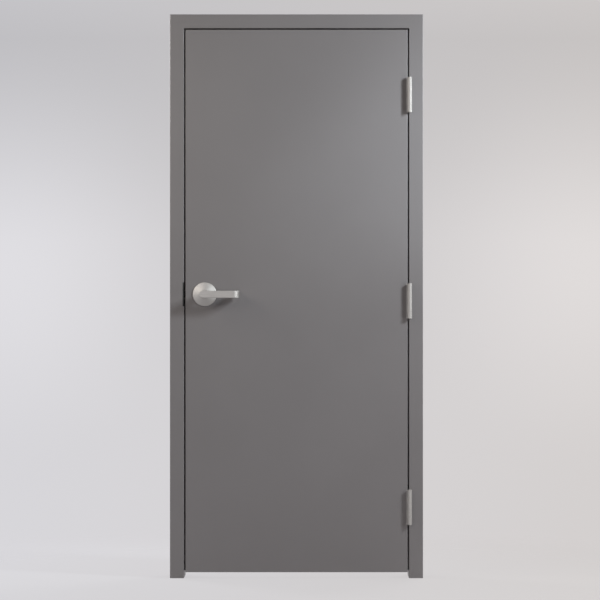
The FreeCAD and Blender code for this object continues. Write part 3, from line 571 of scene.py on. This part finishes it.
def screws(name, body, spots, facing, radius, finish):
    """One piece of several screw heads on the same plate."""
    mesh_maker = bmesh.new()
    for i, spot in enumerate(spots):
        screw_head(mesh_maker, Vector(spot), Vector(facing).normalized(), radius, SCREW_TURN_STEP * (i + 1))
    piece = finished_object(name, mesh_maker)
    shade_smooth(piece)
    piece.data.materials.append(finish)
    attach(piece, body)


rabbet_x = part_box("hinge_jamb")[0].x
leaf_edge_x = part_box("front_skin")[1].x
for hinge in HINGES:
    low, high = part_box(hinge + "_hinge_frame_leaf")
    middle_z, height = (low.z + high.z) / 2, high.z - low.z
    plate_depth = high.y - face_y
    for plate, body, x, facing in [("frame", "frame", rabbet_x, -1), ("door", "leaf", leaf_edge_x, 1)]:
        spots = [(x, face_y + share * plate_depth, middle_z + up * height) for up, share in ZIGZAG]
        screws(f"{hinge}_hinge_{plate}_screws", body, spots, (facing, 0, 0), HINGE_SCREW_RADIUS,
               steel_upright)
print("hinge screws:", 2 * len(HINGES) * len(ZIGZAG))

# %% [markdown]
# The strike and the latch front have two smaller screws each, above and below the latch. The leaf's lock edge is
# bevelled by a few degrees so that it clears the jamb as it swings, and the latch front's screws face along that
# bevel.

# %% Screws on the strike and the latch front
SMALL_SCREW_RADIUS = metres(4.1)
LATCH_FRONT_SHEET = metres(2.4)
SMALL_SCREW_SPREAD = 0.36  # from the plate's middle, as a share of its height

strike_low, strike_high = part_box("strike_plate")
latch_low, latch_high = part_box("latch_front")
latch_middle = (latch_low + latch_high) / 2
bevel = (latch_high.x - latch_low.x - LATCH_FRONT_SHEET) / (latch_high.y - latch_low.y)
strike_face_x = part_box("strike_jamb")[1].x
strike_reach = SMALL_SCREW_SPREAD * (strike_high.z - strike_low.z)
strike_spots = [(strike_face_x, latch_middle.y, latch_middle.z + side * strike_reach) for side in (-1, 1)]
# the strike's screws share its near-black tone, which paints the notch's shade
screws("strike_screws", "frame", strike_spots, (1, 0, 0), SMALL_SCREW_RADIUS, black_oxide_and_notch_shade)
latch_face_x = latch_middle.x - LATCH_FRONT_SHEET / 2
latch_reach = SMALL_SCREW_SPREAD * (latch_high.z - latch_low.z)
latch_spots = [(latch_face_x, latch_middle.y, latch_middle.z + side * latch_reach) for side in (-1, 1)]
screws("latch_front_screws", "leaf", latch_spots, (-1, bevel, 0), SMALL_SCREW_RADIUS, steel_upright)
print("lock edge bevel:", round(math.degrees(math.atan(bevel)), 2), "degrees")

# %% [markdown]
# ## Floor and backdrop
# The door stands alone on a pale sweep: no floor line, cool light on the left, warm on the right. A real studio
# curves paper up behind the object. Here the world itself is the pale backdrop, so it looks right from every side,
# and a round patch of floor under the door fades into it. One ramp gives the tint from left to right, another the
# brightness from bottom to top, and a slant makes the upper right a little brighter than the upper left.

# %% Backdrop colours in the world
BACKDROP_LEFT, BACKDROP_RIGHT = "#d8d7db", "#d3cfce"
# share of the picture's height, and brightness there
BACKDROP_HEIGHTS = [(0.0, 1.0), (0.33, 1.0), (0.6, 0.955), (0.73, 0.89), (0.86, 0.84), (0.93, 0.82), (1.0, 0.87)]
VIEW_SLOPE = 0.104  # how far a ray at the picture's edge leans away from its middle
BACKDROP_SLANT = 0.12
MIDDLE = 0.5

world = bpy.data.worlds.new("pale_studio")
bpy.context.scene.world = world
world.use_nodes = True
tree = world.node_tree
tree.nodes.clear()
ray_heading = add_node(tree, "TexCoord").outputs["Generated"]
heading = add_node(tree, "SeparateXYZ", {"Vector": ray_heading})
sideways = add_node(tree, "MapRange", {"Value": heading.outputs["X"], "From Min": -VIEW_SLOPE,
                                       "From Max": VIEW_SLOPE})
tint = add_node(tree, "ValToRGB", {"Fac": sideways.outputs["Result"]})
tint.color_ramp.elements[0].color = linear(BACKDROP_LEFT)
tint.color_ramp.elements[1].color = linear(BACKDROP_RIGHT)
upwards = add_node(tree, "MapRange", {"Value": heading.outputs["Z"], "From Min": -VIEW_SLOPE,
                                      "From Max": VIEW_SLOPE})
level = add_node(tree, "ValToRGB", {"Fac": upwards.outputs["Result"]})
while len(level.color_ramp.elements) < len(BACKDROP_HEIGHTS):
    level.color_ramp.elements.new(MIDDLE)
for element, (position, share) in zip(level.color_ramp.elements, BACKDROP_HEIGHTS):
    element.position, element.color = position, (share, share, share, 1)
off_middle = add_node(tree, "Math", {0: sideways.outputs["Result"], 1: MIDDLE}, operation="SUBTRACT")
slant = add_node(tree, "Math", {0: off_middle.outputs["Value"], 1: upwards.outputs["Result"]}, operation="MULTIPLY")
slanted = add_node(tree, "Math", {0: slant.outputs["Value"], 1: BACKDROP_SLANT, 2: level.outputs["Color"]},
                   operation="MULTIPLY_ADD")
print(world.name, "heights:", len(BACKDROP_HEIGHTS))

# %% [markdown]
# Two soft gleams lie on the backdrop, one on each side of the door at chest height. Folding left onto right with an
# absolute value lets one circle serve for both.

# %% Gleams on the backdrop
GLEAM_PLACE = (0.1, 0.0, 0.018)  # as a ray's heading, like the radius
GLEAM_RADIUS = 0.078
GLEAM = 0.15

folded = add_node(tree, "VectorMath", {0: ray_heading}, operation="ABSOLUTE")
aside = add_node(tree, "SeparateXYZ", {"Vector": folded.outputs["Vector"]})
flat = add_node(tree, "CombineXYZ", {"X": aside.outputs["X"], "Z": heading.outputs["Z"]})
off_gleam = add_node(tree, "VectorMath", {0: flat.outputs["Vector"], 1: GLEAM_PLACE}, operation="DISTANCE")
gleam = add_node(tree, "MapRange", {"Value": off_gleam.outputs["Value"], "From Min": 0.0, "From Max": GLEAM_RADIUS,
                                    "To Min": GLEAM, "To Max": 0.0}, interpolation_type="SMOOTHSTEP")
brightness = add_node(tree, "Math", {0: slanted.outputs["Value"], 1: gleam.outputs["Result"]}, operation="ADD")
print("gleams of", GLEAM, "at", GLEAM_PLACE)

# %% [markdown]
# Photographers hold a white card beside bright metal, so that it has something pale to mirror. The left half of
# the rose shows such a reflection. A soft bright patch of the world, at the left in front of the door, stands for
# the card. The portrait doesn't show it, because it lies behind the camera.

# %% Card for the metal
CARD_HEADING = (-0.58, -0.707, 0.403)
CARD_EDGES = (0.6, 0.95)  # the cosines at its faded rim and where it is fully bright
CARD = 0.95

towards_card = add_node(tree, "VectorMath", {0: ray_heading, 1: CARD_HEADING}, operation="DOT_PRODUCT")
card = add_node(tree, "MapRange", {"Value": towards_card.outputs["Value"], "From Min": CARD_EDGES[0],
                                   "From Max": CARD_EDGES[1], "To Min": 0.0, "To Max": CARD},
                interpolation_type="SMOOTHSTEP")
with_card = add_node(tree, "Math", {0: brightness.outputs["Value"], 1: card.outputs["Result"]}, operation="ADD")
pale = add_node(tree, "VectorMath", {0: tint.outputs["Color"], "Scale": with_card.outputs["Value"]},
                operation="SCALE")
print("card of", CARD, "towards", CARD_HEADING)

# %% [markdown]
# The world plays two parts. Rays from the camera, and rays that glance off metal, see the pale backdrop. Rays that
# gather light for matt surfaces get a plain grey fill instead, so the backdrop's brightness and the light on the
# door can be set apart. The fill comes almost only from behind, as it would from paper hung there: it lifts the
# shadows on the door's back and leaves those on its front to the lamps.

# %% Rays that see the backdrop
FRONT_FILL, BACK_FILL = 0.03, 0.3
FILL_TURNS = (0.0, 0.3)  # the fill changes between these headings in Y


def rays_that_see(tree):
    """1 for rays from the camera, off a gloss or through glass, and 0 for the others."""
    ray = add_node(tree, "LightPath")
    near = add_node(tree, "Math", {0: ray.outputs["Is Camera Ray"], 1: ray.outputs["Is Glossy Ray"]},
                    operation="MAXIMUM")
    return add_node(tree, "Math", {0: near.outputs["Value"], 1: ray.outputs["Is Transmission Ray"]},
                    operation="MAXIMUM").outputs["Value"]


behind = add_node(tree, "MapRange", {"Value": heading.outputs["Y"],
                                     "From Min": FILL_TURNS[0], "From Max": FILL_TURNS[1],
                                     "To Min": FRONT_FILL, "To Max": BACK_FILL})
fill = add_node(tree, "Background", {"Color": linear("#ffffff"), "Strength": behind.outputs["Result"]})
backdrop = add_node(tree, "Background", {"Color": pale.outputs["Vector"], "Strength": 1.0})
sky = add_node(tree, "MixShader", {0: rays_that_see(tree), 1: fill.outputs["Background"],
                                   2: backdrop.outputs["Background"]})
add_node(tree, "OutputWorld", {"Surface": sky.outputs["Shader"]})
print("fill from the front and from behind:", FRONT_FILL, BACK_FILL)

# %% [markdown]
# The floor is a round patch of the same pale paper. Most of what the camera sees of it is a plain glow in the
# backdrop's colours, so that it melts into the backdrop, and the rest is matt paper that takes the door's shadow.
# Rays that gather light find less glow and more matt paper, which throws some of the lamps' light back onto the foot
# of the door. Towards its rim the patch turns transparent, so no edge of it shows from any side.

# %% Floor patch
FLOOR_RADIUS = 2.4
FLOOR_SIDES = 96
FLOOR_DROP = metres(0.5)  # keeps the paper and the door's feet from sharing a plane
FLOOR_FADE = (0.9, 2.2)
FLOOR_BOUNCE, FLOOR_GLOW = 0.3, 0.85  # the glow's share for rays that gather light, and for rays that see

mesh_maker = bmesh.new()
bmesh.ops.create_circle(mesh_maker, cap_ends=True, radius=FLOOR_RADIUS, segments=FLOOR_SIDES)
floor = finished_object("pale_floor", mesh_maker)
floor.location = ((cad_low.x + cad_high.x) / 2, (cad_low.y + cad_high.y) / 2, cad_low.z - FLOOR_DROP)

sweep, tree = new_finish("pale_paper_sweep")
place = add_node(tree, "TexCoord").outputs["Object"]
spot = add_node(tree, "SeparateXYZ", {"Vector": place})
half_view = VIEW_SLOPE * VIEW_DISTANCE
sideways = add_node(tree, "MapRange", {"Value": spot.outputs["X"], "From Min": -half_view, "From Max": half_view})
tint = add_node(tree, "ValToRGB", {"Fac": sideways.outputs["Result"]})
tint.color_ramp.elements[0].color = linear(BACKDROP_LEFT)
tint.color_ramp.elements[1].color = linear(BACKDROP_RIGHT)
glow = add_node(tree, "Emission", {"Color": tint.outputs["Color"], "Strength": 1.0})
matt = add_node(tree, "BsdfDiffuse", {"Color": tint.outputs["Color"]})
share = add_node(tree, "MapRange", {"Value": rays_that_see(tree), "To Min": FLOOR_BOUNCE, "To Max": FLOOR_GLOW})
paper = add_node(tree, "MixShader", {0: share.outputs["Result"], 1: matt.outputs["BSDF"],
                                     2: glow.outputs["Emission"]})
distance = add_node(tree, "VectorMath", {0: place}, operation="LENGTH")
fade = add_node(tree, "MapRange", {"Value": distance.outputs["Value"], "From Min": FLOOR_FADE[0],
                                   "From Max": FLOOR_FADE[1]}, interpolation_type="SMOOTHSTEP")
gone = add_node(tree, "BsdfTransparent")
floor_look = add_node(tree, "MixShader", {0: fade.outputs["Result"], 1: paper.outputs["Shader"],
                                          2: gone.outputs["BSDF"]})
add_node(tree, "OutputMaterial", {"Surface": floor_look.outputs["Shader"]})
floor.data.materials.append(sweep)
print(floor.name, "radius", FLOOR_RADIUS, "m")

# %% [markdown]
# ## Light
# Shadows tell where the light was. Each hinge barrel throws a crisp one to the left and a little down, and the
# lever's runs down to the left from its tip, so a small main light stands to the right and above, with a weaker one
# below it near the floor. Glints on the left of the rose ask for light from the left too: a broad box in front, and
# a small one well round to the side. Two boxes behind, a broad one and a smaller one, light the back, which the
# portrait doesn't show. Each is a rectangle aimed at the door's middle. A bigger rectangle gives softer shadows, and
# a nearer one falls off faster across the door.

# %% Softboxes
SOFTBOXES = [
    # name, azimuth, elevation, distance, width, height, watts, colour
    ("main_from_the_right", 60, 24, 3.0, 0.5, 0.5, 61, "#f3fafc"),
    ("low_from_the_right", 64, -7, 2.4, 0.5, 0.5, 10, "#ffffff"),
    ("broad_from_the_left", -38, 25, 5.0, 1.6, 1.6, 34, "#fff6ec"),
    ("glint_from_the_left", -72, 27, 1.8, 0.8, 0.8, 11, "#fff9ea"),
    ("soft_from_behind", 150, 40, 4.0, 1.6, 1.6, 70, "#ffffff"),
    ("glint_from_behind", -132, 24, 3.0, 0.8, 0.8, 45, "#ffffff"),
]
door_middle = (cad_low + cad_high) / 2


def add_light(name, kind, watts, colour, place, aim):
    """A light of that kind at a place, pointing at another and hidden from the camera."""
    light = bpy.data.lights.new(name, kind)
    light.energy = watts
    light.color = linear(colour)[:3]
    lamp = bpy.data.objects.new(name, light)
    bpy.context.scene.collection.objects.link(lamp)
    lamp.location = place
    lamp.rotation_euler = (place - aim).to_track_quat("Z", "Y").to_euler()
    lamp.visible_camera = False
    return light


def seen_from_door(azimuth, elevation, distance):
    """The place that lies that way and that far from the door's middle; azimuth 0 is straight in front."""
    turn, rise = math.radians(azimuth), math.radians(elevation)
    outward = Vector((math.sin(turn) * math.cos(rise), -math.cos(turn) * math.cos(rise), math.sin(rise)))
    return door_middle + outward * distance


for name, azimuth, elevation, distance, width, height, watts, colour in SOFTBOXES:
    box = add_light(name, "AREA", watts, colour, seen_from_door(azimuth, elevation, distance), door_middle)
    box.shape = "RECTANGLE"
    box.size, box.size_y = width, height
print("softboxes:", [settings[0] for settings in SOFTBOXES])

# %% [markdown]
# The upper right of the door is brighter than any softbox at the middle would leave it, with a soft edge. Spot
# lights far off, with narrow cones and fully blended edges, lay such a pool of light there: a wide one from high up
# and a small one from lower down. A lamp's radius blurs its shadows and also the rim of its cone, so the small pool
# has the smaller lamp.

# %% Pools of light on the upper right
POOL_COLOUR = "#ebf7fc"
POOL_BLEND = 1.0
POOLS = [
    # name, azimuth, elevation, distance, lamp radius, cone in degrees, x and z of the lit place, watts
    ("wide_pool", 60, 31, 8.0, 0.5, 20, 0.1, 1.75, 1270),
    ("small_pool", 60, 23, 8.0, 0.1, 9, 0.45, 1.70, 1850),
]
for name, azimuth, elevation, distance, radius, cone, pool_x, pool_z, watts in POOLS:
    pool = add_light(name, "SPOT", watts, POOL_COLOUR, seen_from_door(azimuth, elevation, distance),
                     Vector((pool_x, face_y, pool_z)))
    pool.spot_size = math.radians(cone)
    pool.spot_blend = POOL_BLEND
    pool.shadow_soft_size = radius
print("pools of light:", [settings[0] for settings in POOLS])

# %% [markdown]
# The Standard view shows colours as they were written.

# %% Finish
bpy.context.scene.view_settings.view_transform = "Standard"
